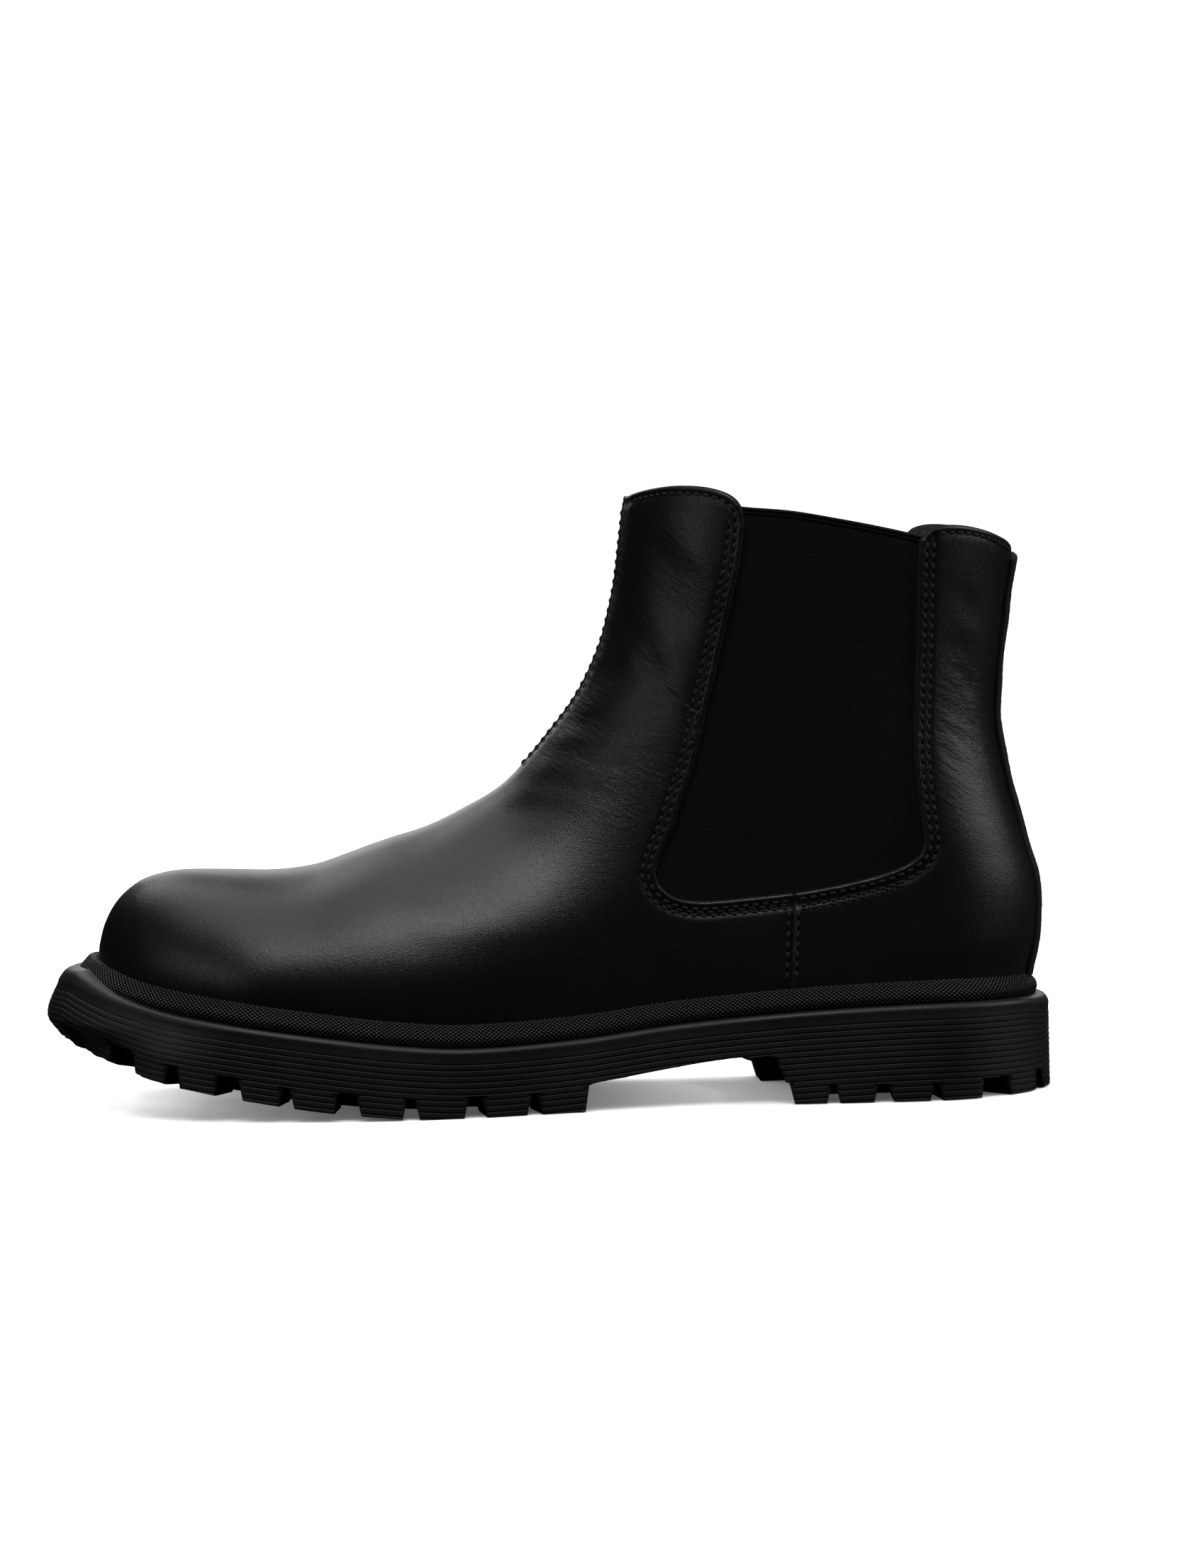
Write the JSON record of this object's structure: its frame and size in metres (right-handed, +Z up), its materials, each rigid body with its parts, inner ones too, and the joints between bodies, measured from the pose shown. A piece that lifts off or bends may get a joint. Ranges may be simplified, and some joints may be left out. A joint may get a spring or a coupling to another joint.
{
  "type": "chelsea boot",
  "caption": "Black leather ankle boot with elastic side gores, a textured rand and a lug rubber sole; the sole flexes at the ball and the rear shaft tips back as the gores stretch.",
  "frame": {"origin": "centre of the bounding box on the ground plane, under the middle of the outsole", "axes": "+X to the heel, toe at -X; -Y to the lateral (outer) side, +Y to the medial side; +Z up"},
  "size_m": [0.305, 0.1124, 0.1836],
  "materials": {
    "upper_leather": "smooth black leather with a fine grain, semi-matt",
    "gore_elastic": "black ribbed elastic webbing",
    "tape": "black matt woven tape",
    "thread": "black thread",
    "lining_textile": "dark textile lining",
    "footbed_leather": "dark matt leather sock",
    "sole_rubber": "black moulded rubber, matt",
    "rand_rubber": "black knurled rubber",
    "fibre_board": "pressed fibre board",
    "filler_cork": "pressed cork",
    "steel": "spring steel"
  },
  "bodies": {
    "rearfoot": {"outsole_rear": "sole_rubber", "rand_rear": "rand_rubber", "insole_board_rear": "fibre_board", "shank": "steel", "heel_filler": "filler_cork", "footbed": "footbed_leather", "vamp": "upper_leather", "vamp_lining": "lining_textile", "gore_lateral": "gore_elastic", "gore_medial": "gore_elastic", "front_stitching": "thread", "front_collar_tape": "tape"},
    "forefoot": {"outsole_forepart": "sole_rubber", "rand_forepart": "rand_rubber", "insole_board_forepart": "fibre_board", "cork_filler": "filler_cork", "toe_puff": "fibre_board"},
    "rear_upper": {"quarter_lateral": "upper_leather", "quarter_medial": "upper_leather", "backstay": "tape", "heel_counter": "fibre_board", "quarter_lining": "lining_textile", "rear_stitching": "thread", "rear_collar_tape": "tape"}
  },
  "joints": [
    {"name": "toe_flex", "type": "hinge", "parent": "rearfoot", "child": "forefoot", "pos_m": [-0.04, 0, 0.03], "axis": [0, 1, 0], "range_deg": [0, 25], "stiffness_Nm_per_rad": 8, "deforming": ["vamp", "vamp_lining", "footbed"]},
    {"name": "collar_open", "type": "hinge", "parent": "rearfoot", "child": "rear_upper", "pos_m": [0.15, 0, 0.036], "axis": [0, 1, 0], "range_deg": [0, 8], "stiffness_Nm_per_rad": 12, "deforming": ["gore_lateral", "gore_medial"]}
  ]
}
